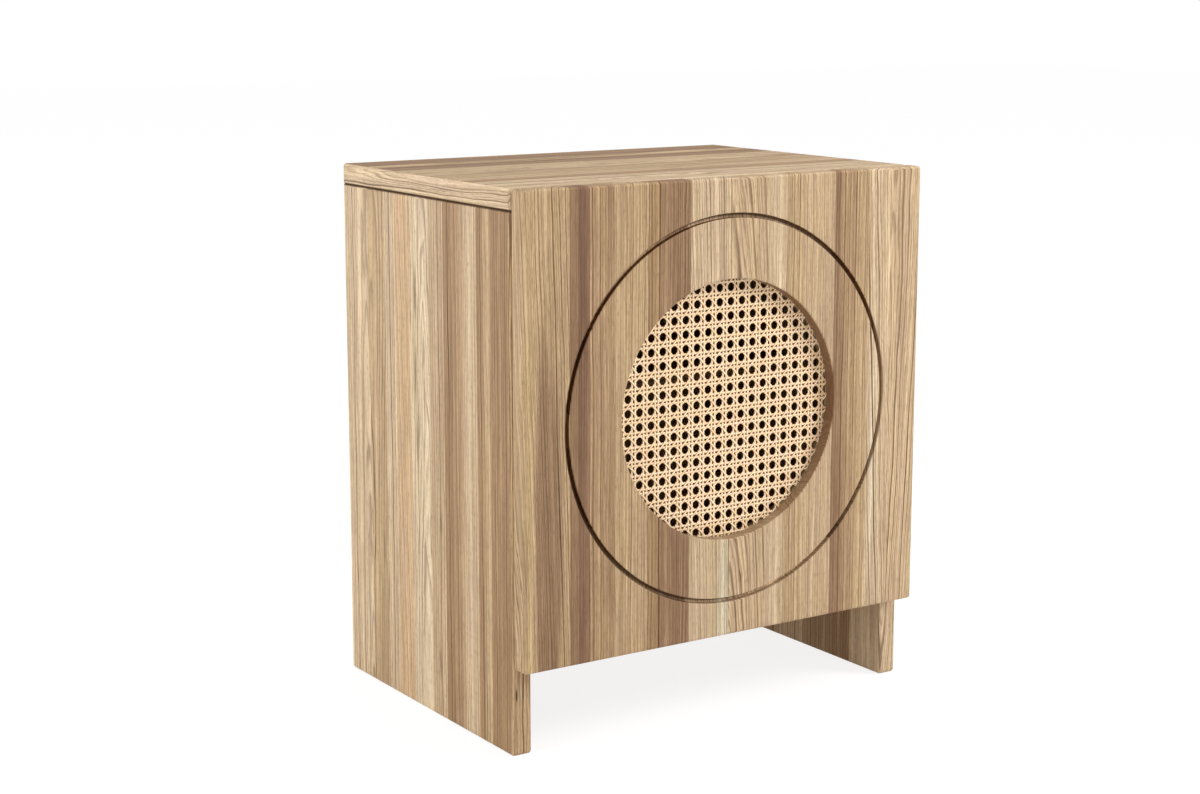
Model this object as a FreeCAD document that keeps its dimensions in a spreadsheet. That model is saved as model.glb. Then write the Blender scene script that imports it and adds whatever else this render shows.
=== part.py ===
import FreeCAD, Part
import os
import Sketcher
from FreeCAD import Placement, Rotation, Vector

# Side table with a cane-fronted door. X runs to the right, Y to the back and Z up. The origin
# lies on the floor under the middle of the whole table, the hinge barrels included.

doc = FreeCAD.newDocument("SideTable")
sheet = doc.addObject("Spreadsheet::Sheet", "Sizes")

drivingSizes = {
    # carcass
    "tableWidth": 450,
    "tableHeight": 512,
    "carcassDepth": 315,
    "boardThickness": 20,
    "edgeRound": 3,
    "footRound": 3,
    "doorBottom": 82,
    "backThickness": 6,
    "backRebate": 10,
    "backPlay": 0.5,
    "shelfThickness": 18,
    "shelfHeight": 288,
    "shelfPlay": 1,
    "shelfSetback": 130,
    # dowels and shelf pins
    "dowelRadius": 4,
    "dowelLength": 30,
    "dowelInPanel": 12,
    "dowelInset": 45,
    "pinRadius": 2.5,
    "pinLength": 19,
    "pinInBoard": 9,
    "pinInset": 40,
    # door and its webbing
    "doorThickness": 20,
    "doorGap": 2,
    "openingRadius": 122,
    "openingRound": 1.5,
    "grooveRadius": 180.5,
    "grooveWidth": 4.5,
    "grooveDepth": 6,
    "grooveRound": 0.8,
    "webbingDepth": 12,
    "webbingThickness": 1.5,
    "rebateLand": 10.5,
    "ringPlay": 0.5,
    # hinges
    "hingeLength": 50,
    "hingeInset": 55,
    "leafWidth": 17,
    "leafThickness": 0.9,
    "barrelRadius": 2,
    "barrelReach": 2.5,
    "barrelClearance": 0.2,
    "hingePinRadius": 1,
    "hingePinPlay": 0.05,
    "pinCapRadius": 1.7,
    "pinCapHeight": 0.8,
    # screws: shank radius, head radius, head height and length
    "hingeScrewRadius": 1.25,
    "hingeScrewHead": 2.5,
    "hingeScrewHeadHeight": 1.5,
    "hingeScrewLength": 14,
    "hingeScrewPitch": 17,
    "smallScrewRadius": 1.25,
    "smallScrewHead": 2.6,
    "smallScrewHeadHeight": 1.6,
    "smallScrewLength": 12,
    "backScrewRadius": 1.5,
    "backScrewHead": 3,
    "backScrewHeadHeight": 1.8,
    "backScrewLength": 18,
    "backScrewInset": 30,
    # push latch
    "latchWidth": 16,
    "latchLength": 76,
    "latchDrop": 14,
    "latchFromSide": 18,
    "latchSetback": 4,
    "latchFlangeWidth": 10,
    "latchFlangeHeight": 3,
    "plungerRadius": 4,
    "plungerPlay": 0.3,
    "plungerLength": 52,
    "plungerBoreEnd": 6,
    "magnetThickness": 3,
    "latchAirGap": 0.2,
    "strikeWidth": 42,
    "strikeHeight": 14,
    "strikeThickness": 1.2,
    "strikeScrewPitch": 30,
}
for row, (alias, value) in enumerate(drivingSizes.items(), start=1):
    sheet.set(f"A{row}", alias)
    sheet.set(f"B{row}", str(value))
    sheet.setAlias(f"B{row}", alias)
doc.recompute()

screwsPerHingeLeaf = 3
screwsPerBackEdge = 4
screwsInRing = 8
dowelsPerJoint = 3


def size(alias):
    return float(sheet.get(alias))


# Planes of the table as expressions of the driving sizes
left = "(-(Sizes.tableWidth + Sizes.barrelReach) / 2)"
right = f"({left} + Sizes.tableWidth)"
doorFront = "(-(Sizes.carcassDepth + Sizes.doorGap + Sizes.doorThickness) / 2)"
doorBack = f"({doorFront} + Sizes.doorThickness)"
front = f"({doorBack} + Sizes.doorGap)"
back = f"({front} + Sizes.carcassDepth)"
innerLeft = f"({left} + Sizes.boardThickness)"
innerRight = f"({right} - Sizes.boardThickness)"
topUnderside = "(Sizes.tableHeight - Sizes.boardThickness)"
doorHeight = "(Sizes.tableHeight - Sizes.doorBottom)"
doorCentreX = f"({left} + Sizes.tableWidth / 2)"
doorCentreZ = f"(Sizes.doorBottom + {doorHeight} / 2)"
hingeAxisX = f"({right} + Sizes.barrelReach - Sizes.barrelRadius)"
hingeAxisY = f"({front} - Sizes.doorGap / 2)"
rebateRadius = "(Sizes.openingRadius + Sizes.rebateLand)"

alongX = Rotation(Vector(0, 0, 1), Vector(1, 0, 0))
alongNegativeX = Rotation(Vector(0, 0, 1), Vector(-1, 0, 0))
alongY = Rotation(Vector(0, 0, 1), Vector(0, 1, 0))
alongNegativeY = Rotation(Vector(0, 0, 1), Vector(0, -1, 0))
alongZ = Rotation()


def place(item, x, y, z, turn=None):
    if turn is not None:
        item.Placement = Placement(Vector(), turn)
    item.setExpression("Placement.Base.x", x)
    item.setExpression("Placement.Base.y", y)
    item.setExpression("Placement.Base.z", z)
    return item


def bind(item, expressions):
    for name, expression in expressions.items():
        item.setExpression(name, expression)
    return item


# ---- primitives and booleans -------------------------------------------------------------

def addBox(name, corner, extent):
    box = doc.addObject("Part::Box", name)
    bind(box, {"Length": extent[0], "Width": extent[1], "Height": extent[2]})
    return place(box, *corner)


def addCylinder(name, radius, height, corner, turn=alongZ):
    cylinder = doc.addObject("Part::Cylinder", name)
    bind(cylinder, {"Radius": radius, "Height": height})
    return place(cylinder, *corner, turn)


def addFuse(name, shapes):
    fuse = doc.addObject("Part::MultiFuse", name)
    fuse.Shapes = shapes
    return fuse


def addGroup(label, links):
    # several separate solids in one node
    group = doc.addObject("Part::Compound", label)
    group.Links = links
    group.Label = label
    return group


def addCut(label, base, tools):
    if len(tools) == 1:
        tool = tools[0]
    else:
        tool = doc.addObject("Part::Compound", label + "_tools")
        tool.Links = tools
    cut = doc.addObject("Part::Cut", label)
    cut.Base = base
    cut.Tool = tool
    cut.Label = label
    return cut


def addScrew(name, kind, head, turn):
    # A countersunk screw: its flat head lies at `head`, and it points along `turn`
    shank = doc.addObject("Part::Cylinder", name + "_shank")
    bind(shank, {"Radius": f"Sizes.{kind}Radius", "Height": f"Sizes.{kind}Length"})
    cone = doc.addObject("Part::Cone", name + "_head")
    bind(cone, {"Radius1": f"Sizes.{kind}Head", "Radius2": f"Sizes.{kind}Radius"})
    bind(cone, {"Height": f"Sizes.{kind}HeadHeight"})
    return place(addFuse(name, [shank, cone]), *head, turn)


# ---- PartDesign bodies -------------------------------------------------------------------

def addBody(name):
    return doc.addObject("PartDesign::Body", name)


def addSketch(body, name, role, offset="0"):
    sketch = body.newObject("Sketcher::SketchObject", name)
    plane = next(item for item in body.Origin.OriginFeatures if item.Role == role)
    sketch.AttachmentSupport = [(plane, "")]
    sketch.MapMode = "FlatFace"
    sketch.setExpression("AttachmentOffset.Base.z", offset)
    return sketch


def constrain(sketch, kind, items, expression):
    index = sketch.addConstraint(Sketcher.Constraint(kind, *items))
    sketch.setExpression(f"Constraints[{index}]", expression)


def drawRectangle(sketch, width, height, x="0", y="0"):
    # A rectangle whose lower left corner is at x, y in the sketch
    corners = [Vector(1, 1, 0), Vector(5, 1, 0), Vector(5, 5, 0), Vector(1, 5, 0)]
    for start, end in zip(corners, corners[1:] + corners[:1]):
        sketch.addGeometry(Part.LineSegment(start, end), False)
    for side in range(4):
        sketch.addConstraint(Sketcher.Constraint("Coincident", side, 2, (side + 1) % 4, 1))
    for side in (0, 2):
        sketch.addConstraint(Sketcher.Constraint("Horizontal", side))
        sketch.addConstraint(Sketcher.Constraint("Vertical", side + 1))
    constrain(sketch, "DistanceX", (0, 1, 0, 2, 4.0), width)
    constrain(sketch, "DistanceY", (1, 1, 1, 2, 4.0), height)
    constrain(sketch, "DistanceX", (-1, 1, 0, 1, 1.0), x)
    constrain(sketch, "DistanceY", (-1, 1, 0, 1, 1.0), y)


def drawCircles(sketch, radii, x, y):
    # Circles about one centre at x, y in the sketch
    for index, radius in enumerate(radii):
        circle = Part.Circle(Vector(10, 10, 0), Vector(0, 0, 1), 5 + index)
        sketch.addGeometry(circle, False)
        constrain(sketch, "DistanceX", (-1, 1, index, 3, 10.0), x)
        constrain(sketch, "DistanceY", (-1, 1, index, 3, 10.0), y)
        constrain(sketch, "Radius", (index, 5.0 + index), radius)


def addPad(body, sketch, length, name="pad"):
    pad = body.newObject("PartDesign::Pad", name)
    pad.Profile = sketch
    pad.setExpression("Length", length)
    doc.recompute()
    return pad


def addPocket(body, sketch, depth, name, away=False):
    volumeBefore = body.Shape.Volume
    pocket = body.newObject("PartDesign::Pocket", name)
    pocket.Profile = sketch
    pocket.Reversed = away
    pocket.setExpression("Length", depth)
    doc.recompute()
    if body.Shape.Volume > volumeBefore - 1:
        raise RuntimeError(f"{body.Name}: {name} cuts nothing")
    return pocket


def edgesWhere(shape, direction, keep):
    # Names of the straight edges along a direction whose middle passes the test
    names = []
    for index, edge in enumerate(shape.Edges, start=1):
        if edge.Degenerated or edge.Curve.TypeId != "Part::GeomLine":
            continue
        if edge.Curve.Direction.cross(direction).Length < 1e-6 and keep(edge.CenterOfMass):
            names.append(f"Edge{index}")
    return names


def circlesWhere(shape, keep):
    # Names of the round edges that pass the test
    names = []
    for index, edge in enumerate(shape.Edges, start=1):
        if edge.Degenerated or edge.Curve.TypeId != "Part::GeomCircle":
            continue
        if keep(edge):
            names.append(f"Edge{index}")
    return names


def addFillet(body, names, radius, name):
    base = body.Tip
    fillet = body.newObject("PartDesign::Fillet", name)
    fillet.Base = (base, names)
    fillet.setExpression("Radius", radius)
    doc.recompute()
    return fillet


axisX, axisY, axisZ = Vector(1, 0, 0), Vector(0, 1, 0), Vector(0, 0, 1)


# ---- carcass boards ----------------------------------------------------------------------

def makeSidePanel(side):
    # A board on edge that runs down to the floor as two legs; its outer face is at x = outer
    body = addBody(f"side_{side}_board")
    outline = addSketch(body, f"side_{side}_outline", "XY_Plane")
    drawRectangle(outline, "Sizes.boardThickness", "Sizes.carcassDepth")
    addPad(body, outline, topUnderside)
    outer = 0 if side == "left" else size("boardThickness")

    def isOuter(point):
        return abs(point.x - outer) < 0.01

    upright = edgesWhere(body.Shape, axisZ, lambda p: isOuter(p) or p.y < 0.01)
    topEdge = edgesWhere(body.Shape, axisY, lambda p: isOuter(p) and p.z > 1)
    addFillet(body, upright + topEdge, "Sizes.edgeRound", "rounded_edges")
    underside = edgesWhere(body.Shape, axisY, lambda p: p.z < 0.01)
    underside += edgesWhere(body.Shape, axisX, lambda p: p.z < 0.01)
    addFillet(body, underside, "Sizes.footRound", "foot_edges")
    rebate = addSketch(body, f"side_{side}_rebate", "XY_Plane", "Sizes.doorBottom")
    innerEdge = "Sizes.boardThickness - Sizes.backRebate" if side == "left" else "0"
    rebateStart = "Sizes.carcassDepth - Sizes.backThickness"
    drawRectangle(rebate, "Sizes.backRebate", "Sizes.backThickness", innerEdge, rebateStart)
    addPocket(body, rebate, f"{topUnderside} - Sizes.doorBottom", "back_rebate", away=True)
    return place(body, left if side == "left" else innerRight, front, "0")


def makeTopPanel():
    body = addBody("top_board")
    outline = addSketch(body, "top_outline", "XY_Plane")
    drawRectangle(outline, "Sizes.tableWidth", "Sizes.carcassDepth")
    addPad(body, outline, "Sizes.boardThickness")
    thickness = size("boardThickness")
    names = edgesWhere(body.Shape, axisZ, lambda p: True)
    names += edgesWhere(body.Shape, axisX, lambda p: p.z > thickness / 2)
    names += edgesWhere(body.Shape, axisY, lambda p: True)
    addFillet(body, names, "Sizes.edgeRound", "rounded_edges")
    return place(body, left, front, topUnderside)


def makeBottomPanel():
    length = f"{innerRight} - {innerLeft}"
    depth = "Sizes.carcassDepth - Sizes.backThickness"
    body = addBody("bottom_board")
    outline = addSketch(body, "bottom_outline", "XY_Plane")
    drawRectangle(outline, length, depth)
    addPad(body, outline, "Sizes.boardThickness")
    names = edgesWhere(body.Shape, axisX, lambda p: p.y < 0.01)
    addFillet(body, names, "Sizes.edgeRound", "rounded_edges")
    return place(body, innerLeft, front, "Sizes.doorBottom")


def makeBackPanel():
    width = f"{innerRight} - {innerLeft} + 2 * Sizes.backRebate - 2 * Sizes.backPlay"
    height = f"{topUnderside} - Sizes.doorBottom - Sizes.backPlay"
    x = f"{innerLeft} - Sizes.backRebate + Sizes.backPlay"
    corner = (x, f"{back} - Sizes.backThickness", "Sizes.doorBottom")
    return addBox("back_board", corner, (width, "Sizes.backThickness", height))


def makeShelf():
    body = addBody("shelf_board")
    outline = addSketch(body, "shelf_outline", "XY_Plane")
    width = f"{innerRight} - {innerLeft} - 2 * Sizes.shelfPlay"
    depth = "Sizes.carcassDepth - Sizes.backThickness - Sizes.shelfSetback - Sizes.shelfPlay"
    drawRectangle(outline, width, depth)
    addPad(body, outline, "Sizes.shelfThickness")
    names = edgesWhere(body.Shape, axisX, lambda p: p.y < 0.01)
    addFillet(body, names, "Sizes.edgeRound", "rounded_edges")
    place(body, f"{innerLeft} + Sizes.shelfPlay", f"{front} + Sizes.shelfSetback", "Sizes.shelfHeight")
    body.Label = "shelf"
    return body


# ---- what joins the boards ---------------------------------------------------------------

def spreadAlongDepth(index, count, inset, depth):
    # y of one of several places, the first and last at an inset from the ends
    return f"{front} + {inset} + ({depth} - 2 * {inset}) * {index} / {count - 1}"


def makeDowels(label, joint):
    dowels = []
    depth = "(Sizes.carcassDepth - Sizes.backThickness)"
    for side in ("left", "right"):
        for index in range(dowelsPerJoint):
            y = spreadAlongDepth(index, dowelsPerJoint, "Sizes.dowelInset", depth)
            name = f"{joint}_dowel_{side}_{index + 1}"
            if joint == "top":
                x = f"{left} + Sizes.boardThickness / 2"
                if side == "right":
                    x = f"{right} - Sizes.boardThickness / 2"
                corner = (x, y, f"{topUnderside} + Sizes.dowelInPanel - Sizes.dowelLength")
                turn = alongZ
            else:
                z = "Sizes.doorBottom + Sizes.boardThickness / 2"
                x = f"{innerLeft} - Sizes.dowelInPanel"
                turn = alongX
                if side == "right":
                    x = f"{innerRight} + Sizes.dowelInPanel"
                    turn = alongNegativeX
                corner = (x, y, z)
            dowels.append(addCylinder(name, "Sizes.dowelRadius", "Sizes.dowelLength", corner, turn))
    return addGroup(label, dowels)


def makeShelfPins():
    pins = []
    for side, x, turn in (
        ("left", f"{innerLeft} - Sizes.pinInBoard", alongX),
        ("right", f"{innerRight} + Sizes.pinInBoard", alongNegativeX),
    ):
        for index in range(2):
            start = f"{front} + Sizes.shelfSetback + Sizes.pinInset"
            reach = "(Sizes.carcassDepth - Sizes.backThickness - Sizes.shelfSetback - 2 * Sizes.pinInset)"
            y = f"{start} + {reach} * {index}"
            corner = (x, y, "Sizes.shelfHeight - Sizes.pinRadius")
            name = f"shelf_pin_{side}_{index + 1}"
            pins.append(addCylinder(name, "Sizes.pinRadius", "Sizes.pinLength", corner, turn))
    return addGroup("shelf_pins", pins)


def makeBackScrews():
    screws = []
    height = f"({topUnderside} - Sizes.doorBottom)"
    for side, x in (
        ("left", f"{innerLeft} - Sizes.backRebate / 2"),
        ("right", f"{innerRight} + Sizes.backRebate / 2"),
    ):
        for index in range(screwsPerBackEdge):
            span = f"({height} - 2 * Sizes.backScrewInset)"
            z = f"Sizes.doorBottom + Sizes.backScrewInset + {span} * {index} / {screwsPerBackEdge - 1}"
            name = f"back_screw_{side}_{index + 1}"
            screws.append(addScrew(name, "backScrew", (x, back, z), alongNegativeY))
    for index in range(1, screwsPerBackEdge):
        x = f"{innerLeft} + ({innerRight} - {innerLeft}) * {index} / {screwsPerBackEdge}"
        z = "Sizes.doorBottom + Sizes.boardThickness / 2"
        screws.append(addScrew(f"back_screw_low_{index}", "backScrew", (x, back, z), alongNegativeY))
    return addGroup("back_panel_screws", screws)


# ---- door --------------------------------------------------------------------------------

def makeDoorBoard():
    # Local origin at the door's lower left back corner; the front face is at y = -doorThickness
    body = addBody("door_board")
    outline = addSketch(body, "door_outline", "XZ_Plane")
    drawRectangle(outline, "Sizes.tableWidth", doorHeight)
    addPad(body, outline, "Sizes.doorThickness")
    everyEdge = [name for axis in (axisX, axisY, axisZ) for name in edgesWhere(body.Shape, axis, lambda p: True)]
    addFillet(body, everyEdge, "Sizes.edgeRound", "rounded_edges")
    centre = ("Sizes.tableWidth / 2", f"{doorHeight} / 2")
    groove = addSketch(body, "door_groove", "XZ_Plane", "Sizes.doorThickness")
    inner = "Sizes.grooveRadius - Sizes.grooveWidth / 2"
    outer = "Sizes.grooveRadius + Sizes.grooveWidth / 2"
    drawCircles(groove, (inner, outer), *centre)
    addPocket(body, groove, "Sizes.grooveDepth", "ring_groove")
    opening = addSketch(body, "door_opening", "XZ_Plane", "Sizes.doorThickness")
    drawCircles(opening, ("Sizes.openingRadius",), *centre)
    addPocket(body, opening, "Sizes.doorThickness", "opening")
    rebate = addSketch(body, "door_rebate", "XZ_Plane")
    drawCircles(rebate, (rebateRadius,), *centre)
    addPocket(body, rebate, "Sizes.doorThickness - Sizes.webbingDepth", "webbing_rebate", away=True)

    def frontCircles(near, spread):
        return circlesWhere(body.Shape, lambda edge: abs(edge.CenterOfMass.y + size("doorThickness")) < 0.01
                            and abs(edge.Curve.Radius - size(near)) < spread)

    addFillet(body, frontCircles("openingRadius", 0.01), "Sizes.openingRound", "opening_edge")
    addFillet(body, frontCircles("grooveRadius", size("grooveWidth")), "Sizes.grooveRound", "groove_edges")
    return place(body, left, doorBack, "Sizes.doorBottom")


def makeWebbing():
    radius = f"{rebateRadius} - Sizes.ringPlay"
    centre = (doorCentreX, f"{doorFront} + Sizes.webbingDepth", doorCentreZ)
    return addCylinder("webbing_disc", radius, "Sizes.webbingThickness", centre, alongY)


def makeRetainingRing():
    y = f"{doorFront} + Sizes.webbingDepth + Sizes.webbingThickness"
    thickness = "Sizes.doorThickness - Sizes.webbingDepth - Sizes.webbingThickness - Sizes.ringPlay"
    centre = (doorCentreX, y, doorCentreZ)
    disc = addCylinder("ring_disc", f"{rebateRadius} - Sizes.ringPlay", thickness, centre, alongY)
    hole = addCylinder("ring_hole", "Sizes.openingRadius", thickness, centre, alongY)
    return addCut("ring_blank", disc, [hole])


def makeRingScrews():
    screws = []
    radius = "(Sizes.openingRadius + (Sizes.rebateLand - Sizes.ringPlay) / 2)"
    for index in range(screwsInRing):
        angle = 360 * (index + 0.5) / screwsInRing
        x = f"{doorCentreX} + {radius} * cos({angle} deg)"
        z = f"{doorCentreZ} + {radius} * sin({angle} deg)"
        head = (x, f"{doorBack} - Sizes.ringPlay", z)
        screws.append(addScrew(f"ring_screw_{index + 1}", "smallScrew", head, alongNegativeY))
    return addGroup("retaining_ring_screws", screws)


# ---- hinges ------------------------------------------------------------------------------

def makeHinge(level, low):
    # A butt hinge between the right side panel's front edge and the door's back face. The side
    # leaf carries the end knuckles and the pin, and the door leaf the middle knuckle.
    name = f"{level}_hinge"
    third = "(Sizes.hingeLength / 3)"
    axis = (hingeAxisX, hingeAxisY)
    plateX = f"{hingeAxisX} - Sizes.leafWidth"
    plateExtent = ("Sizes.leafWidth", "Sizes.leafThickness", "Sizes.hingeLength")
    bore = addCylinder(f"{name}_bore", "Sizes.hingePinRadius + Sizes.hingePinPlay",
                       "Sizes.hingeLength", (*axis, low))

    def addKnuckle(part, start, length, radius="Sizes.barrelRadius"):
        return addCylinder(f"{name}_{part}", radius, length, (*axis, start))

    clearRadius = "Sizes.barrelRadius + Sizes.barrelClearance"
    middleStart = f"{low} + {third} - Sizes.barrelClearance / 2"
    middleLength = f"{third} + Sizes.barrelClearance"

    sidePlate = addBox(f"{name}_side_plate", (plateX, f"{front} - Sizes.leafThickness", low), plateExtent)
    lowKnuckle = addKnuckle("low_knuckle", low, third)
    highKnuckle = addKnuckle("high_knuckle", f"{low} + 2 * {third}", third)
    middleSpace = addKnuckle("middle_space", middleStart, middleLength, clearRadius)
    sideScrews = makeLeafScrews(f"{name}_side_screws", f"{front} - Sizes.leafThickness", low, alongY)
    sideBlank = addFuse(f"{name}_side_blank", [sidePlate, lowKnuckle, highKnuckle])
    addCut(f"{name}_side_leaf", sideBlank, [bore, middleSpace, sideScrews])

    doorPlate = addBox(f"{name}_door_plate", (plateX, doorBack, low), plateExtent)
    middleKnuckle = addKnuckle("middle_knuckle", f"{middleStart} + Sizes.barrelClearance",
                               f"{third} - Sizes.barrelClearance")
    lowSpace = addKnuckle("low_space", low, f"{third} + Sizes.barrelClearance / 2", clearRadius)
    highSpace = addKnuckle("high_space", f"{low} + 2 * {third} - Sizes.barrelClearance / 2",
                           f"{third} + Sizes.barrelClearance / 2", clearRadius)
    doorHead = f"{doorBack} + Sizes.leafThickness"
    doorScrews = makeLeafScrews(f"{name}_door_screws", doorHead, low, alongNegativeY)
    doorBlank = addFuse(f"{name}_door_blank", [doorPlate, middleKnuckle])
    addCut(f"{name}_door_leaf", doorBlank, [bore, lowSpace, highSpace, doorScrews])

    rod = addCylinder(f"{name}_rod", "Sizes.hingePinRadius", "Sizes.hingeLength", (*axis, low))
    lowCap = addCylinder(f"{name}_low_cap", "Sizes.pinCapRadius", "Sizes.pinCapHeight",
                         (*axis, f"{low} - Sizes.pinCapHeight"))
    highCap = addCylinder(f"{name}_high_cap", "Sizes.pinCapRadius", "Sizes.pinCapHeight",
                          (*axis, f"{low} + Sizes.hingeLength"))
    addFuse(f"{name}_pin", [rod, lowCap, highCap]).Label = f"{name}_pin"
    return sideScrews, doorScrews


def makeLeafScrews(label, y, low, turn):
    screws = []
    x = f"{right} - Sizes.boardThickness / 2"
    for index in range(screwsPerHingeLeaf):
        offset = index - (screwsPerHingeLeaf - 1) / 2
        z = f"{low} + Sizes.hingeLength / 2 + {offset} * Sizes.hingeScrewPitch"
        screws.append(addScrew(f"{label}_{index + 1}", "hingeScrew", (x, y, z), turn))
    return addGroup(label, screws)


# ---- push latch --------------------------------------------------------------------------

latchX = f"({innerLeft} + Sizes.latchFromSide + Sizes.latchFlangeWidth + Sizes.latchWidth / 2)"
latchZ = f"({topUnderside} - Sizes.latchDrop / 2)"
latchFront = f"({front} + Sizes.latchSetback)"
strikeBack = f"({doorBack} + Sizes.strikeThickness)"
plungerTip = f"({strikeBack} + Sizes.latchAirGap)"


def makeLatchScrews():
    screws = []
    for side in (-1, 1):
        x = f"{latchX} + {side} * (Sizes.latchWidth + Sizes.latchFlangeWidth) / 2"
        y = f"{latchFront} + Sizes.latchLength / 2"
        head = (x, y, f"{topUnderside} - Sizes.latchFlangeHeight")
        screws.append(addScrew(f"latch_screw_{(side + 3) // 2}", "smallScrew", head, alongZ))
    return addGroup("push_latch_screws", screws)


def makeLatchBody(screws):
    corner = (f"{latchX} - Sizes.latchWidth / 2", latchFront, f"{topUnderside} - Sizes.latchDrop")
    case = addBox("latch_case", corner, ("Sizes.latchWidth", "Sizes.latchLength", "Sizes.latchDrop"))
    flangeCorner = (f"{latchX} - Sizes.latchWidth / 2 - Sizes.latchFlangeWidth",
                    f"{latchFront} + Sizes.latchLength / 3",
                    f"{topUnderside} - Sizes.latchFlangeHeight")
    flange = addBox("latch_flange", flangeCorner,
                    ("Sizes.latchWidth + 2 * Sizes.latchFlangeWidth", "Sizes.latchLength / 3",
                     "Sizes.latchFlangeHeight"))
    bore = addCylinder("latch_bore", "Sizes.plungerRadius + Sizes.plungerPlay",
                       "Sizes.latchLength - Sizes.plungerBoreEnd", (latchX, latchFront, latchZ), alongY)
    blank = addFuse("latch_blank", [case, flange])
    return addCut("push_latch_body", blank, [bore, screws])


def makePlunger():
    tip = (latchX, plungerTip, latchZ)
    addCylinder("push_latch_magnet", "Sizes.plungerRadius", "Sizes.magnetThickness", tip, alongY)
    rodStart = (latchX, f"{plungerTip} + Sizes.magnetThickness", latchZ)
    addCylinder("push_latch_plunger", "Sizes.plungerRadius",
                "Sizes.plungerLength - Sizes.magnetThickness", rodStart, alongY)


def makeStrike():
    corner = (f"{latchX} - Sizes.strikeWidth / 2", doorBack, f"{latchZ} - Sizes.strikeHeight / 2")
    plate = addBox("strike_blank", corner, ("Sizes.strikeWidth", "Sizes.strikeThickness", "Sizes.strikeHeight"))
    screws = []
    for side in (-1, 1):
        head = (f"{latchX} + {side} * Sizes.strikeScrewPitch / 2", strikeBack, latchZ)
        screws.append(addScrew(f"strike_screw_{(side + 3) // 2}", "smallScrew", head, alongNegativeY))
    group = addGroup("strike_plate_screws", screws)
    addCut("strike_plate", plate, [group])
    return group


# ---- assembly ----------------------------------------------------------------------------

topDowels = makeDowels("top_dowels", "top")
bottomDowels = makeDowels("bottom_dowels", "bottom")
shelfPins = makeShelfPins()
backScrews = makeBackScrews()
ringScrews = makeRingScrews()
lowHinge = "(Sizes.doorBottom + Sizes.hingeInset)"
highHinge = "(Sizes.tableHeight - Sizes.hingeInset - Sizes.hingeLength)"
lowSideScrews, lowDoorScrews = makeHinge("lower", lowHinge)
highSideScrews, highDoorScrews = makeHinge("upper", highHinge)
latchScrews = makeLatchScrews()
makeLatchBody(latchScrews)
makePlunger()
strikeScrews = makeStrike()

addCut("side_panel_left", makeSidePanel("left"), [topDowels, bottomDowels, shelfPins, backScrews])
addCut("side_panel_right", makeSidePanel("right"),
       [topDowels, bottomDowels, shelfPins, backScrews, lowSideScrews, highSideScrews])
addCut("top_panel", makeTopPanel(), [topDowels, latchScrews])
addCut("bottom_panel", makeBottomPanel(), [bottomDowels, backScrews])
addCut("back_panel", makeBackPanel(), [backScrews])
makeShelf()
addCut("door_panel", makeDoorBoard(), [ringScrews, lowDoorScrews, highDoorScrews, strikeScrews])
addCut("cane_webbing", makeWebbing(), [ringScrews])
addCut("cane_retaining_ring", makeRetainingRing(), [ringScrews])

nodes = [
    "side_panel_left", "side_panel_right", "top_panel", "bottom_panel", "back_panel", "shelf",
    "top_dowels", "bottom_dowels", "shelf_pins", "back_panel_screws",
    "door_panel", "cane_webbing", "cane_retaining_ring", "retaining_ring_screws",
    "lower_hinge_side_leaf", "lower_hinge_door_leaf", "lower_hinge_pin",
    "lower_hinge_side_screws", "lower_hinge_door_screws",
    "upper_hinge_side_leaf", "upper_hinge_door_leaf", "upper_hinge_pin",
    "upper_hinge_side_screws", "upper_hinge_door_screws",
    "push_latch_body", "push_latch_plunger", "push_latch_magnet", "push_latch_screws",
    "strike_plate", "strike_plate_screws",
]

doc.recompute()
for item in doc.Objects:
    if "Invalid" in item.State or "Error" in item.State:
        raise RuntimeError(f"{item.Name} did not recompute: {item.State}")

os.makedirs("parts", exist_ok=True)
for node in nodes:
    shape = doc.getObjectsByLabel(node)[0].Shape
    if shape.isNull() or not shape.isValid():
        raise RuntimeError(f"{node} has no valid shape")
    shape.exportStep(f"parts/{node}.step")
    box = shape.BoundBox
    print(f"{node}: {len(shape.Solids)} solid, {shape.Volume:.0f} mm3, "
          f"x {box.XMin:.1f}..{box.XMax:.1f} y {box.YMin:.1f}..{box.YMax:.1f} z {box.ZMin:.1f}..{box.ZMax:.1f}")
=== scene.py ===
import math
import random
from functools import partial

import bmesh
import bpy
from mathutils import Matrix, Vector


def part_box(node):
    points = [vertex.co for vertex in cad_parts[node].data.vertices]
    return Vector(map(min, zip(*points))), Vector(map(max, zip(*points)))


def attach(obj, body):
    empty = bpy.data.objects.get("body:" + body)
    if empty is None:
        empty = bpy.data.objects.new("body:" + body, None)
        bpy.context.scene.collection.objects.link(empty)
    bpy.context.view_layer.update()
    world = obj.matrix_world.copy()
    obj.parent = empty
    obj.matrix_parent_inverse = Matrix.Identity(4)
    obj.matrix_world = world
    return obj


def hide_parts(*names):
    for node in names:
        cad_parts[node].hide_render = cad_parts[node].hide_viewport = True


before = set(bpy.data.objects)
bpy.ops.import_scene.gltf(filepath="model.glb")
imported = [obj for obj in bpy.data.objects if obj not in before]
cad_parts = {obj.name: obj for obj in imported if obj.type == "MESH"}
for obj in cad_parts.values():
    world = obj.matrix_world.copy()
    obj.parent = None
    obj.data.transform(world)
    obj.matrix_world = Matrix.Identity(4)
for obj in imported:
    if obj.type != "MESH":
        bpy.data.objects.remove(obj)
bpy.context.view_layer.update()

print("stage: frame loaded")


def toLinear(hexColour):
    channels = [int(hexColour[i:i + 2], 16) / 255 for i in (1, 3, 5)]
    return [c / 12.92 if c <= 0.04045 else ((c + 0.055) / 1.055) ** 2.4 for c in channels] + [1.0]


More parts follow.
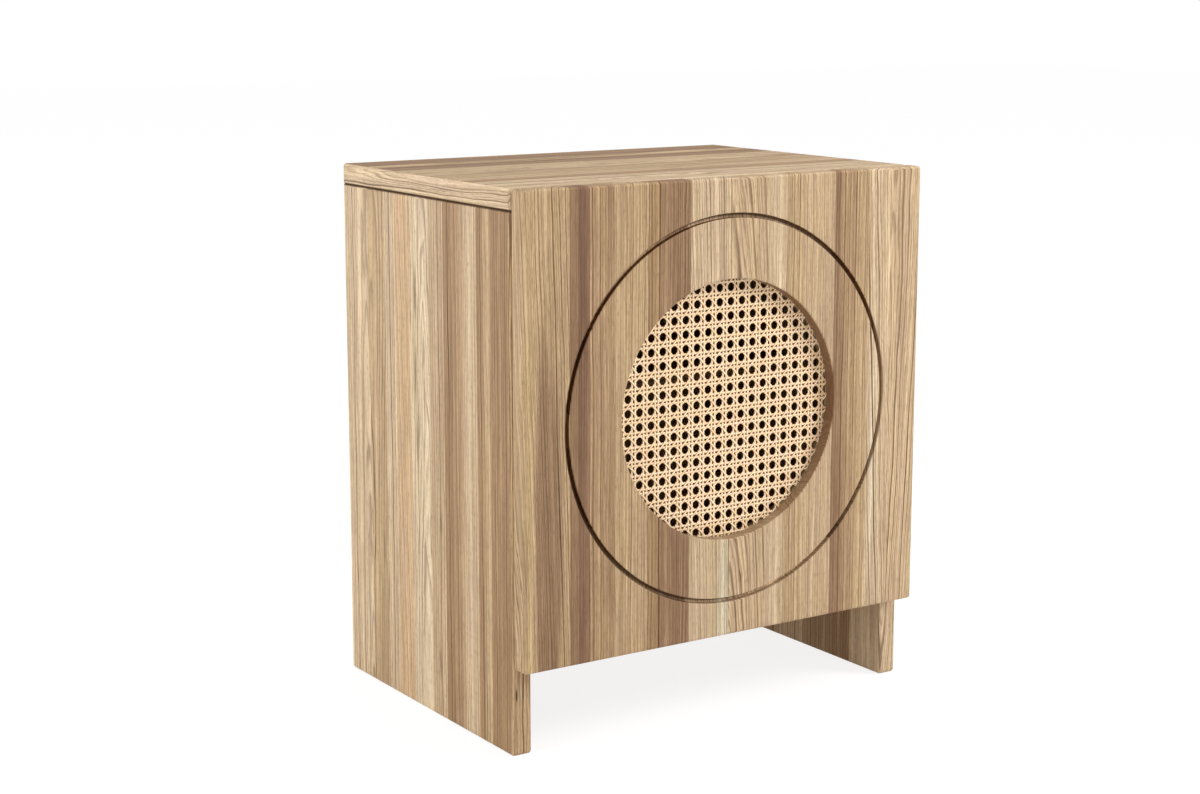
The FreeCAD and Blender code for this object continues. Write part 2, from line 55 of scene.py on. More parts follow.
def addNode(tree, kind, inputs=(), operation=None, **settings):
    # inputs: a list fills the sockets that the settings leave in use, a dictionary names its sockets;
    # each entry is a node (its first output in use), a socket or a plain value
    node = tree.nodes.new("ShaderNode" + kind)
    if operation:
        node.operation = operation
    for key, value in settings.items():
        setattr(node, key, value)
    if isinstance(inputs, dict):
        filled = [(node.inputs[key], value) for key, value in inputs.items()]
    else:
        filled = zip([socket for socket in node.inputs if socket.enabled], inputs)
    for socket, value in filled:
        if isinstance(value, bpy.types.Node):
            value = next(output for output in value.outputs if output.enabled)
        if isinstance(value, bpy.types.NodeSocket):
            tree.links.new(value, socket)
        else:
            socket.default_value = value
    return node


# settings that many nodes share
smooth = {"interpolation_type": "SMOOTHSTEP"}
inColour = {"data_type": "RGBA"}
multipliedColour = {"data_type": "RGBA", "blend_type": "MULTIPLY"}


def newMaterial(name):
    # gives the empty material and the function that adds nodes to it
    material = bpy.data.materials.new(name)
    material.use_nodes = True
    material.node_tree.nodes.clear()
    return material, partial(addNode, material.node_tree)


def fillRamp(ramp, stops, interpolation):
    ramp.interpolation = interpolation
    while len(ramp.elements) < len(stops):
        ramp.elements.new(1.0)
    for element, (place, colour) in zip(ramp.elements, stops):
        element.position = place
    for element, (place, colour) in zip(ramp.elements, stops):
        element.color = colour


def stretchedNoise(add, place, sizes, detail, roughness):
    # noise whose blotches have these sizes in mm
    scaled = add("VectorMath", [place, [1 / size for size in sizes]], "MULTIPLY")
    return add("TexNoise", [scaled, 1.0, detail, roughness])


def pulse(add, season, rise, fall):
    # grows from 0 to 1 over the rise and goes back to 0 over the fall
    grown = add("MapRange", [season, *rise], **smooth)
    kept = add("MapRange", [season, *fall, 1.0, 0.0], **smooth)
    return add("Math", [grown, kept], "MULTIPLY")


def dress(node, material):
    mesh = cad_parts[node].data
    mesh.materials.clear()
    mesh.materials.append(material)


def boxInMillimetres(node):
    return [[v * 1000 for v in corner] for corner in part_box(node)]


def newObject(name, data):
    made = bpy.data.objects.new(name, data)
    bpy.context.scene.collection.objects.link(made)
    return made


def meshFrom(bm, name):
    mesh = bpy.data.meshes.new(name)
    bm.to_mesh(mesh)
    bm.free()
    return mesh


# the camera stands at the front left and looks about 10 degrees down;
# its place is in metres, the angles are in degrees, lens and sensor in mm
cameraValues = {
    "place": (-1.18805, -1.7441, 0.6871),
    "yaw": 33.45,
    "pitch": 9.91,
    "lens": 65.21,
    "sensor": 36.0,
    "shift": -0.03,
    "clipEnd": 100.0,
}

cameraData = bpy.data.cameras.new("camera")
cameraData.sensor_width = cameraValues["sensor"]
cameraData.lens = cameraValues["lens"]
cameraData.shift_y = cameraValues["shift"]
cameraData.clip_end = cameraValues["clipEnd"]
camera = newObject("camera", cameraData)
camera.location = cameraValues["place"]
camera.rotation_euler = (math.radians(90 - cameraValues["pitch"]), 0, math.radians(-cameraValues["yaw"]))
bpy.context.scene.camera = camera


studio = {
    "worldStrength": 0.67,
    "floorColour": "#f2f1ef",
    "floorShadow": 0.25,   # share of the camera's floor that takes light and shadow
    "floorGlow": 0.825,
    "floorSize": 24.0,
    "floorDrop": 0.0004,   # keeps the floor clear of the feet's own faces
    "lamps": [
        # place, aimed at, size, watts
        ((-3.0, -0.1, 1.4), (0, 0, 0.30), 1.8, 30),
        ((2.2, -2.0, 2.2), (0, 0, 0.28), 1.4, 75),
        ((-0.9, 2.7, 0.50), (0, 0, 0.15), 1.2, 30),
    ],
}


def seenDirectly(add):
    # 1 for what the camera, mirrors and glass see, 0 for the light that falls on things
    rays = add("LightPath").outputs
    seen = add("Math", [rays["Is Camera Ray"], rays["Is Glossy Ray"]], "MAXIMUM")
    return add("Math", [seen, rays["Is Transmission Ray"]], "MAXIMUM")


world = bpy.data.worlds.new("studioWorld")
bpy.context.scene.world = world
world.use_nodes = True
world.node_tree.nodes.clear()
add = partial(addNode, world.node_tree)
level = add("MapRange", [seenDirectly(add), 0.0, 1.0, studio["worldStrength"], 1.0])
add("OutputWorld", {"Surface": add("Background", [(1, 1, 1, 1), level])})

for number, (place, target, size, watts) in enumerate(studio["lamps"]):
    lampData = bpy.data.lights.new(f"softbox_{number}", "AREA")
    lampData.size = size
    lampData.energy = watts
    lamp = newObject(f"softbox_{number}", lampData)
    lamp.location = place
    lamp.rotation_euler = (Vector(target) - Vector(place)).to_track_quat("-Z", "Y").to_euler()

# matt white paint: it melts into the background and keeps only a soft shadow
floorMaterial, add = newMaterial("matt white floor")
plain = add("BsdfDiffuse", [toLinear(studio["floorColour"])])
shaded = add("BsdfDiffuse", [(studio["floorShadow"],) * 3 + (1,)])
shown = add("AddShader", [shaded, add("Emission", [(1, 1, 1, 1), studio["floorGlow"]])])
add("OutputMaterial", {"Surface": add("MixShader", [seenDirectly(add), plain, shown])})

bm = bmesh.new()
bmesh.ops.create_grid(bm, x_segments=1, y_segments=1, size=studio["floorSize"] / 2)
floor = newObject("floor", meshFrom(bm, "floor"))
floor.data.materials.append(floorMaterial)
floor.location = (0, 0, -studio["floorDrop"])
print("stage: camera, lamps and floor")


# oiled elm: boards of solid staves glued edge to edge, sanded and oiled matt. Each stave has its own tone
# and its own dark ring lines, which run straight, at a slant or in arches, and the light stays dull

woodTones = {
    "pale": "#e4d0b1",
    "straw": "#dbc3a3",
    "peach": "#dfc09a",
    "sand": "#d3b998",
    "tan": "#cbb08c",
    "brown": "#bb9d7c",
    "umber": "#af906e",
    "mauveBrown": "#a4866a",
    "mauve": "#8d6f59",
}

woodFigure = {
    # pith beside the stave's middle, pith in front of the face, ring spacing (mm),
    # lean of the rings across the stave and lean towards the face
    "straight": (80, 12, 3.5, 0.003, 0.02),
    "slanted": (70, 14, 3.3, 0.035, 0.02),
    "rift": (40, 30, 3.6, 0.06, 0.02),
    "flat": (13, 26, 4.0, 0.012, 0.016),
    "flatWide": (9, 34, 4.6, 0.008, 0.012),
    "halfCathedral": (24, 30, 4.4, 0.0, 0.045),
}

figureSpread = {
    # in each stave a figure's number is multiplied by something between these two
    "beside": (0.85, 1.2),
    "infront": (0.8, 1.25),
    "spacing": (0.85, 1.15),
}

figureCode = {
    # a ramp holds 0 to 1, so each number is moved by its shift and divided by its span
    "centreShift": 300,
    "centreSpan": 1000,
    "infrontSpan": 100,
    "seedSpan": 900.0,
    "spacingSpan": 20,
    "leanShift": 0.5,
    "boardSeed": 31.0,
}

woodNoise = {
    # sizes in mm across the grain, along it and through the board, detail and roughness
    "wander": ((20, 170, 20), 2.5, 0.55),
    "broad": ((10, 200, 10), 3.0, 0.6),
    "fibre": ((2.2, 45, 2.2), 3.0, 0.8),   # fibres and pores are drawn coarser than real ones,
    "pores": ((0.7, 6.5, 0.7), 0.0, 0.5),  # so that they show
}

# where an entry below has four numbers, they are from and to of what it reads, then of what it gives

woodRings = {
    "warp": 3.0,                           # mm that the rings wander
    "unevenness": 0.45,                    # how quickly the spacing changes from ring to ring
    "uneven": 2.4,                         # and by how many rings it moves them
    "rise": (0.62, 0.86),                  # part of a year in which the late wood darkens
    "fall": (0.88, 0.96),                  # and in which it ends
    "weight": (0.35, 1.20),                # strength of the faintest and the darkest year
    "offPith": (0.5, 13.0, 0.06, 1.0),     # mm beside the pith, over which the lines grow
    "fineLines": 2.7,                      # finer lines for each ring
    "fineRise": (0.35, 0.80),
    "fineFall": (0.82, 1.0),
    "comesAndGoes": (0.34, 0.58, 0.60, 1.0),   # the broad noise fades the lines in long patches,
    "breaks": (0.38, 0.56, 0.60, 1.0),         # and the fibres break them
}

woodFinish = {
    "lineTint": "#7c6752",                 # what a dark ring edge leaves of the tone
    "fineTint": "#8f8275",
    "poreTone": "#6a5036",
    "pores": (0.58, 0.72),
    "poreAmount": 0.26,
    "streak": (0.25, 0.75, 0.85, 1.15),    # long paler and darker streaks
    "fibre": (0.27, 0.73, 0.76, 1.24),
    "warmth": (0.36, 0.62),
    "coolTint": "#f1eceb",
    "warmTint": "#fcfaf3",
    "shadePowers": (1.0, 1.13, 1.30),      # darker wood is warmer: green and blue fall faster than red
    "arris": (2.4, 0.8, 1.0, 1.16),        # mm from an arris, along which a painted highlight makes the wood paler
    "roughness": (0.2, 0.8, 0.56, 0.72),
    "ior": 1.5,
    "specular": 0.10,                      # an oiled surface that is dull between the fibres
    "bump": 0.12,                          # mm between ring lines and the wood between them
    "lineDepth": -0.5,                     # against the fibres' height
    "poreDepth": -0.6,
}


def staveStops(board, width, seed):
    # where each stave starts: its tone, then its pith, seed and ring spacing, then its rings' lean
    dice = random.Random(seed)
    code = figureCode
    tones, figures, leans, edge = [], [], [], 0.0
    for staveWidth, tone, figure, side in board["staves"]:
        beside, infront, spacing, acrossLean, faceLean = woodFigure[figure]
        beside *= side * dice.uniform(*figureSpread["beside"])
        infront *= dice.uniform(*figureSpread["infront"])
        coarser = board.get("coarser", 1.0) if figure == "straight" else 1.0
        spacing *= dice.uniform(*figureSpread["spacing"]) * coarser
        centre = (edge + staveWidth / 2 + beside + code["centreShift"]) / code["centreSpan"]
        start = edge / width
        tones.append((start, toLinear(woodTones[tone])))
        packed = (centre, infront / code["infrontSpan"], dice.random(), spacing / code["spacingSpan"])
        figures.append((start, packed))
        leans.append((start, (code["leanShift"] + side * acrossLean, faceLean, 0, 1)))
        edge += staveWidth
    return tones, figures, leans


def readStaves(add, across, width, board, seed):
    # the tone, pith, ring spacing and lean of the stave that a point lies in
    code = figureCode
    place = add("Math", [across, width], "DIVIDE")
    ramps = []
    for stops in staveStops(board, width, seed):
        ramp = add("ValToRGB", [place])
        fillRamp(ramp.color_ramp, stops, "CONSTANT")
        ramps.append(ramp)
    tones, figures, leans = ramps
    figure = add("SeparateColor", [figures]).outputs
    lean = add("SeparateColor", [leans]).outputs
    pithAcross = [figure[0], code["centreSpan"], -code["centreShift"]]
    staveSeed = [figure[2], code["seedSpan"], seed * code["boardSeed"]]
    return {
        "tone": tones,
        "pithAcross": add("Math", pithAcross, "MULTIPLY_ADD"),
        "pithDepth": add("Math", [figure[1], code["infrontSpan"]], "MULTIPLY"),
        "seed": add("Math", staveSeed, "MULTIPLY_ADD"),
        "spacing": add("Math", [figures.outputs["Alpha"], code["spacingSpan"]], "MULTIPLY"),
        "acrossLean": add("Math", [lean[0], code["leanShift"]], "SUBTRACT"),
        "faceLean": lean[1],
    }


def turnAtLipping(add, spot, size, lipping):
    # the board's two ends carry a lipping, whose grain runs along the edge
    across, along, depth = spot
    half = size[1] / 2
    fromMiddle = add("Math", [along, half], "SUBTRACT")
    fromMiddle = add("Math", [fromMiddle], "ABSOLUTE")
    onLip = add("Math", [fromMiddle, half - lipping["thickness"]], "GREATER_THAN")
    lipAcross = add("Math", [depth, lipping["stave"]], "ADD")
    lipAcross = add("Math", [across, lipping["slant"], lipAcross], "MULTIPLY_ADD")
    lipDepth = add("Math", [half, fromMiddle], "SUBTRACT")
    turned = (lipAcross, across, lipDepth)
    return [add("Mix", [onLip, inBoard, inLip]) for inBoard, inLip in zip(spot, turned)], onLip


def ringLines(add, spot, stave, wander):
    # the rings lie round a pith that leans along the stave: the dark line that ends each year,
    # and finer lines between
    across, along, depth = spot
    bend = add("SeparateXYZ", [wander]).outputs
    beside = add("Math", [across, bend[0]], "ADD")
    beside = add("Math", [along, stave["acrossLean"], beside], "MULTIPLY_ADD")
    beside = add("Math", [beside, stave["pithAcross"]], "SUBTRACT")
    infront = add("Math", [along, stave["faceLean"], depth], "MULTIPLY_ADD")
    infront = add("Math", [infront, stave["pithDepth"]], "ADD")
    infront = add("Math", [infront, bend[1]], "ADD")
    radius = add("VectorMath", [add("CombineXYZ", [beside, infront])], "LENGTH")
    evenYears = add("Math", [radius, stave["spacing"]], "DIVIDE")
    uneven = add("Math", [evenYears, woodRings["unevenness"]], "MULTIPLY")
    uneven = add("TexNoise", [uneven, 1.0, 1.0], noise_dimensions="1D")
    years = add("Math", [uneven, woodRings["uneven"], evenYears], "MULTIPLY_ADD")

    season = add("Math", [years], "FRACT")
    line = pulse(add, season, woodRings["rise"], woodRings["fall"])
    year = add("Math", [years], "FLOOR")
    year = add("Math", [year, stave["seed"]], "ADD")
    weight = add("TexWhiteNoise", [year], noise_dimensions="1D")
    weight = add("MapRange", [weight, 0.0, 1.0, *woodRings["weight"]])
    line = add("Math", [line, weight], "MULTIPLY")
    offPith = add("Math", [beside], "ABSOLUTE")
    offPith = add("MapRange", [offPith, *woodRings["offPith"]], **smooth)
    line = add("Math", [line, offPith], "MULTIPLY")

    fineSeason = add("Math", [years, woodRings["fineLines"]], "MULTIPLY")
    fineSeason = add("Math", [fineSeason], "FRACT")
    return line, pulse(add, fineSeason, woodRings["fineRise"], woodRings["fineFall"])


def stain(add, colour, place, spots):
    # soft-edged ellipsoids of another tone
    for centre, reach, tone, strength, softness in spots:
        scale = [1 / r for r in reach]
        shift = [-c / r for c, r in zip(centre, reach)]
        away = add("VectorMath", [place, scale, shift], "MULTIPLY_ADD")
        away = add("VectorMath", [away], "LENGTH")
        inside = add("MapRange", [away, 1 + softness, 1 - softness, 0.0, strength], **smooth)
        colour = add("Mix", [inside, colour, toLinear(tone)], **inColour)
    return colour


def paintedArrisHighlight(add, place, size):
    # painted highlight: how much paler the wood is painted close to the board's edges, where the rounded
    # arrises catch light
    halfBox = [length / 2 for length in size]
    fromMiddle = add("VectorMath", [place, halfBox], "SUBTRACT")
    fromMiddle = add("VectorMath", [fromMiddle], "ABSOLUTE")
    fromFaces = add("VectorMath", [halfBox, fromMiddle], "SUBTRACT")
    fromFaces = add("SeparateXYZ", [fromFaces]).outputs
    fromRim = add("Math", [fromFaces[0], fromFaces[1]], "MINIMUM")
    fromArris = add("Math", [fromRim, fromFaces[2]], "MAXIMUM")
    return add("MapRange", [fromArris, *woodFinish["arris"]], **smooth)


def paintedRecessShade(add, colour, spot, recess):
    # painted shade: the groove's and the opening's walls are painted darker, and the groove's floor is
    # painted paler against its shade
    across, along, depth = spot
    centre = (*recess["centre"], 0)
    flatPlace = add("CombineXYZ", [across, along])
    fromCentre = add("VectorMath", [flatPlace, centre], "DISTANCE")
    beyondGroove = add("Math", [fromCentre, recess["groove"]], "SUBTRACT")
    fromGroove = add("Math", [beyondGroove], "ABSOLUTE")
    inGroove = add("Math", [fromGroove, recess["grooveReach"]], "LESS_THAN")
    inOpening = add("Math", [fromCentre, recess["opening"]], "LESS_THAN")
    below = add("MapRange", [depth, *recess["below"]], **smooth)
    offFloor = add("Math", [depth, recess["floor"][0]], "LESS_THAN")
    onFloor = add("Math", [depth, recess["floor"][1]], "LESS_THAN")
    onFloor = add("Math", [onFloor, offFloor], "SUBTRACT")

    # the painted shade is weaker low on the right of the groove and towards the bottom of the opening,
    # where light falls on the walls
    lowRight = add("Math", [across, along], "SUBTRACT")
    grooveWall = add("Math", [inGroove, below], "MULTIPLY")
    grooveWall = add("Math", [grooveWall, offFloor], "MULTIPLY")
    shadeStrength = add("MapRange", [lowRight, *recess["grooveShadeFade"]], **smooth)
    grooveWall = add("Math", [grooveWall, shadeStrength], "MULTIPLY")
    openingWall = add("Math", [inOpening, below], "MULTIPLY")
    shadeStrength = add("MapRange", [along, *recess["openingShadeFade"]], **smooth)
    openingWall = add("Math", [openingWall, shadeStrength], "MULTIPLY")
    # the walls' colour darkened as painted shade
    oiled = add("Mix", [1.0, colour, toLinear(recess["wallTint"])], **multipliedColour)
    colour = add("Mix", [grooveWall, colour, oiled], **inColour)
    colour = add("Mix", [openingWall, colour, toLinear(recess["openingTone"])], **inColour)

    # painted shadow: the groove's floor is painted darkest under its upper lip
    outward = add("VectorMath", [flatPlace, centre], "SUBTRACT")
    outward = add("VectorMath", [outward], "NORMALIZE")
    upShare = add("SeparateXYZ", [outward]).outputs[1]
    upward = add("Math", [beyondGroove, upShare], "MULTIPLY")
    underLip = add("MapRange", [upward, *recess["underLip"]], **smooth)
    grooveFloor = add("Math", [inGroove, onFloor], "MULTIPLY")
    lifted = add("VectorMath", [colour, recess["floorLift"]], "SCALE")
    lifted = add("Mix", [underLip, lifted, toLinear(recess["lipTone"])], **inColour)
    return add("Mix", [grooveFloor, colour, lifted], **inColour)


def woodGrain(add, spot, stave):
    # each stave has its own piece of the noise field, so the grain breaks at the glue lines
    across, along, depth = spot
    ownDepth = add("Math", [depth, stave["seed"]], "ADD")
    local = add("CombineXYZ", [across, along, ownDepth])
    noise = {key: stretchedNoise(add, local, *woodNoise[key]) for key in woodNoise}
    wander = add("VectorMath", [noise["wander"].outputs["Color"], (0.5, 0.5, 0.5)], "SUBTRACT")
    wander = add("VectorMath", [wander, woodRings["warp"] * 2], "SCALE")
    line, fineLine = ringLines(add, spot, stave, wander)
    broad = add("SeparateColor", [noise["broad"].outputs["Color"]]).outputs
    for fader, fade in ((broad[0], "comesAndGoes"), (noise["fibre"], "breaks")):
        left = add("MapRange", [fader, *woodRings[fade]])
        line = add("Math", [line, left], "MULTIPLY")
    return {
        "wander": wander,
        "line": line,
        "fineLine": add("Math", [fineLine, broad[2]], "MULTIPLY"),
        "pores": add("MapRange", [noise["pores"], *woodFinish["pores"]], **smooth),
        "fibre": noise["fibre"],
        "streak": noise["broad"],
        "warmth": broad[1],
    }


def woodColour(add, stave, grain, boardPlace, board):
    coolTint, warmTint = (toLinear(woodFinish[key]) for key in ("coolTint", "warmTint"))
    warmth = add("MapRange", [grain["warmth"], *woodFinish["warmth"]])
    warmth = add("Mix", [warmth, coolTint, warmTint], **inColour)
    colour = add("Mix", [1.0, stave["tone"], warmth], **multipliedColour)
    # heartwood wedges and sap streaks follow the bent grain, and marks stay where they are
    bentPlace = add("VectorMath", [boardPlace, grain["wander"]], "ADD")
    colour = stain(add, colour, bentPlace, board.get("patches", ()))
    colour = stain(add, colour, boardPlace, board.get("marks", ()))
    level = [add("MapRange", [grain[key], *woodFinish[key]]) for key in ("streak", "fibre")]
    level = add("Math", level, "MULTIPLY")
    shade = [add("Math", [level, power], "POWER") for power in woodFinish["shadePowers"]]
    colour = add("VectorMath", [colour, add("CombineXYZ", shade)], "MULTIPLY")
    for amount, tint in (("fineLine", "fineTint"), ("line", "lineTint")):
        darkened = add("Mix", [1.0, colour, toLinear(woodFinish[tint])], **multipliedColour)
        colour = add("Mix", [grain[amount], colour, darkened], **inColour)
    poreAmount = add("Math", [grain["pores"], woodFinish["poreAmount"]], "MULTIPLY")
    return add("Mix", [poreAmount, colour, toLinear(woodFinish["poreTone"])], **inColour)


def staveWood(name, node, axisNumbers, seed, board):
    # axisNumbers: across the staves, along them and through the board
    low, high = boxInMillimetres(node)
    size = [high[axis] - low[axis] for axis in axisNumbers]
    material, add = newMaterial(name)
    inMillimetres = add("Mapping", {
        "Vector": add("TexCoord").outputs["Object"],
        "Location": [-v for v in low],
        "Scale": (1000, 1000, 1000),
    })
    axes = add("SeparateXYZ", [inMillimetres]).outputs
    spot = [axes[axis] for axis in axisNumbers]
    boardPlace = add("CombineXYZ", spot)
    lipping = board.get("lipping")
    if lipping:
        spot, onLip = turnAtLipping(add, spot, size, lipping)
    stave = readStaves(add, spot[0], size[0], board, seed)
    grain = woodGrain(add, spot, stave)
    if lipping:
        fainter = add("MapRange", [onLip, 0.0, 1.0, 1.0, lipping["lines"]])
        grain["line"] = add("Math", [grain["line"], fainter], "MULTIPLY")
    colour = woodColour(add, stave, grain, boardPlace, board)
    # painted highlight along the arrises
    colour = add("VectorMath", [colour, paintedArrisHighlight(add, boardPlace, size)], "SCALE")
    # painted shade and light in the door's groove and opening
    if "recess" in board:
        colour = paintedRecessShade(add, colour, spot, board["recess"])

    height = add("Math", [grain["line"], woodFinish["lineDepth"], grain["fibre"]], "MULTIPLY_ADD")
    height = add("Math", [grain["pores"], woodFinish["poreDepth"], height], "MULTIPLY_ADD")
    surface = add("BsdfPrincipled", {
        "Base Color": colour,
        "Roughness": add("MapRange", [grain["fibre"], *woodFinish["roughness"]]),
        "Normal": add("Bump", {"Height": height, "Strength": 1.0, "Distance": woodFinish["bump"] / 1000}),
        "IOR": woodFinish["ior"],
        "Specular IOR Level": woodFinish["specular"],
    })
    add("OutputMaterial", {"Surface": surface})
    return material


# boards: staves from one edge to the other as width (mm), tone, figure and the side of the pith;
# patches and marks by centre, half size (across, along, through), tone, strength and softness;
# coarser: straight rings of a board that is seen at a slant are drawn this much wider, so that they show

allAlong, through = 1e4, 1e4   # reaches that take in the whole board
darkStreak = "#7a6348"
# painted shade in the joint under the top
sideTopJointShade = ((157, 492, 0), (allAlong, 1.3, through), "#5c4330", 0.9, 0.4)

doorBoard = {
    "staves": [
        (46.3, "tan", "slanted", 1),
        (9.2, "mauveBrown", "straight", 1),
        (12.0, "mauve", "straight", 1),
        (27.3, "brown", "straight", -1),
        (36.5, "tan", "straight", 1),
        (11.0, "umber", "straight", -1),
        (34.5, "mauveBrown", "straight", -1),
        (46.0, "straw", "slanted", 1),
        (41.0, "sand", "halfCathedral", -1),
        (21.4, "straw", "straight", -1),
        (21.7, "tan", "straight", 1),
        (36.1, "sand", "straight", -1),
        (8.0, "mauveBrown", "straight", 1),
        (18.5, "brown", "straight", 1),
        (16.6, "tan", "straight", -1),
        (25.4, "straw", "rift", 1),
        (38.5, "sand", "rift", -1),
    ],
    "patches": [
        ((24, 110, 0), (14, 185, through), "#8c6d54", 0.78, 0.3),
        ((5, 130, 0), (3.0, 270, through), "#d2b684", 0.5, 0.4),
        ((395, 150, 0), (1.6, 110, through), "#efe4d0", 0.6, 0.5),
        ((217, 10, 0), (7, 90, through), "#d6cfb6", 0.55, 0.4),
        ((354.5, 120, 0), (3.6, 190, through), "#86664f", 0.6, 0.5),
    ],
    # painted shade and light in the groove and on the opening's wall
    "recess": {
        "centre": (225, 215),
        "groove": 180.5,                   # mm from the centre to the groove's middle line,
        "grooveReach": 3.3,                # and from there to past its walls
        "below": (0.5, 1.3),               # mm under the face, where the walls start
        "floor": (5.7, 6.7),               # mm under the face, around the groove's floor
        "opening": 123.6,                  # mm from the centre to past the opening's wall
        "grooveShadeFade": (60.0, 200.0, 1.0, 0.2),      # mm to the right less mm up, then strength of the walls' painted shade
        "openingShadeFade": (95.0, 185.0, 0.42, 0.85),   # mm up, then strength of the wall's painted shade
        "underLip": (-1.2, 0.6, 0.0, 0.85),        # mm up from the groove's middle line, then strength of the painted shadow under the lip
        "wallTint": "#a6825f",
        "openingTone": "#7b5b40",
        # the groove's floor painted paler against its own shade
        "floorLift": 1.45,
        "lipTone": "#4a2f1b",
    },
}

leftBoard = {
    "coarser": 1.35,
    "staves": [
        (18, "umber", "straight", -1),
        (16, "umber", "straight", -1),
        (12, "tan", "straight", 1),
        (11, "umber", "straight", 1),
        (25, "straw", "straight", 1),
        (14, "brown", "straight", -1),
        (21, "umber", "straight", 1),
        (27, "sand", "straight", 1),
        (36, "pale", "flatWide", -1),
        (30, "peach", "slanted", -1),
        (21, "straw", "straight", 1),
        (33, "tan", "rift", 1),
        (34, "straw", "flat", -1),
        (17, "straw", "straight", 1),
    ],
    "patches": [
        ((171, 402, 0), (2.6, 24, through), darkStreak, 0.7, 0.6),
        ((172, 326, 0), (1.8, 28, through), darkStreak, 0.7, 0.6),
        ((170, 262, 0), (1.5, 26, through), darkStreak, 0.7, 0.6),
        ((127, 188, 0), (1.6, 12, through), darkStreak, 0.6, 0.6),
        ((130, 52, 0), (1.8, 15, through), darkStreak, 0.6, 0.6),
        ((238, 314, 0), (1.2, 20, through), darkStreak, 0.5, 0.6),
        ((240, 140, 0), (1.4, 16, through), darkStreak, 0.5, 0.6),
        ((274, 70, 0), (3.0, 24, through), "#b3ab98", 0.5, 0.6),
        ((0, 0, 0), (2.6, allAlong, through), "#c9ab86", 0.7, 0.3),
    ],
    "marks": [
        sideTopJointShade,
        ((0.2, 57, 4.2), (2.0, 6, 0.8), "#2e2015", 0.9, 0.4),   # a small dent in the front edge
    ],
}

rightBoard = {
    "coarser": 1.4,
    "staves": [
        (46, "straw", "slanted", -1),
        (29, "umber", "straight", 1),
        (47, "brown", "straight", -1),
        (48, "sand", "straight", 1),
        (38, "brown", "straight", -1),
        (32, "sand", "rift", 1),
        (45, "tan", "flat", 1),
        (30, "brown", "straight", -1),
    ],
    "marks": [sideTopJointShade],
}

topBoard = {
    "coarser": 2.4,
    "staves": [
        (9, "straw", "straight", 1),
        (30, "straw", "flat", 1),
        (24, "straw", "straight", 1),
        (22, "brown", "straight", -1),
        (27, "sand", "straight", 1),
        (26, "tan", "straight", -1),
        (34, "sand", "flat", 1),
        (34, "sand", "straight", 1),
        (34, "mauveBrown", "straight", -1),
        (24, "tan", "flat", 1),
        (36, "mauveBrown", "straight", 1),
        (15, "umber", "straight", -1),
    ],
    "marks": [
        # painted shade along the joints with the side panels
        ((157, 1.5, 0), (allAlong, 4, 1.5), "#4f3a29", 0.9, 0.4),
        ((157, 448.5, 0), (allAlong, 4, 1.5), "#4f3a29", 0.9, 0.4),
    ],
    # stave: how far across the board the lipping's own grain is taken from
    "lipping": {"thickness": 1.6, "stave": 8, "slant": 0.03, "lines": 0.78},
}

shelfBoard = {
    "staves": [
        (31, "umber", "straight", 1),
        (38, "mauveBrown", "flat", -1),
        (29, "brown", "straight", 1),
        (42, "tan", "flatWide", 1),
        (38, "umber", "rift", -1),
    ],
}

staveMixture = {
    "widths": (20, 46),
    "tones": ("pale", "straw", "peach", "sand", "tan", "brown", "umber"),
    "figures": ("straight", "straight", "rift", "flat", "flatWide"),
    "lastWidth": 52,       # what is left at this width becomes the last stave
    "lastTones": ("tan", "straw"),
}


def mixedStaves(width, seed):
    dice = random.Random(seed)
    staves, left = [], width
    while left > staveMixture["lastWidth"]:
        staveWidth = round(dice.uniform(*staveMixture["widths"]), 1)
        tone = dice.choice(staveMixture["tones"])
        figure = dice.choice(staveMixture["figures"])
        staves.append((staveWidth, tone, figure, dice.choice((-1, 1))))
        left -= staveWidth
    staves.append((left, dice.choice(staveMixture["lastTones"]), "straight", 1))
    return staves


bottomLow, bottomHigh = boxInMillimetres("bottom_panel")
bottomBoard = {"staves": mixedStaves(round(bottomHigh[1] - bottomLow[1]), 17)}

boards = (
    # node, material, axes across the staves, along them and through the board, seed, board
    ("door_panel", "oiled elm door staves", (0, 2, 1), 3, doorBoard),
    ("side_panel_left", "oiled elm left side staves", (1, 2, 0), 7, leftBoard),
    ("side_panel_right", "oiled elm right side staves", (1, 2, 0), 11, rightBoard),
    ("top_panel", "oiled elm top staves", (1, 0, 2), 13, topBoard),
    ("bottom_panel", "oiled elm bottom staves", (1, 0, 2), 17, bottomBoard),
    ("shelf", "oiled elm shelf staves", (1, 0, 2), 19, shelfBoard),
)
for node, name, axisNumbers, seed, board in boards:
    dress(node, staveWood(name, node, axisNumbers, seed, board))
print("stage: stave boards")


# woven cane: pairs of uprights and rows, with two diagonals between the holes

cane = {
    "pitch": (12.74, 13.4),      # mm from hole to hole, across and up
    "hole": (5.85, 289.45),      # where one hole's middle stands
    "centre": (-1.25, 297.0),
    "middle": -155.75,           # depth of the sheet's middle
    "radius": 131.2,
    "pairHalf": 1.78,            # half the distance between the two strands of a pair
    "strandWidth": 2.32,
    "diagonalWidth": 2.1,
    "thickness": 0.40,
    "crown": 0.10,               # the peel side is slightly domed
    "lift": 0.22,                # half the rise of a pair's strand where it passes over
    "liftReach": 0.13,           # share of a cell in which it comes up and goes down again
    "diagonalLift": 0.44,
    "pairs": 12,                 # counted to each side of the first hole
    "diagonals": 24,
    "shortestPair": 8,           # half the length under which a strand is left out
    "rimClearance": 6,
    "pairSteps": 8,              # steps along a cell, and the fewest on a strand
    "diagonalSteps": 4,
    "fewestDiagonal": 6,
}


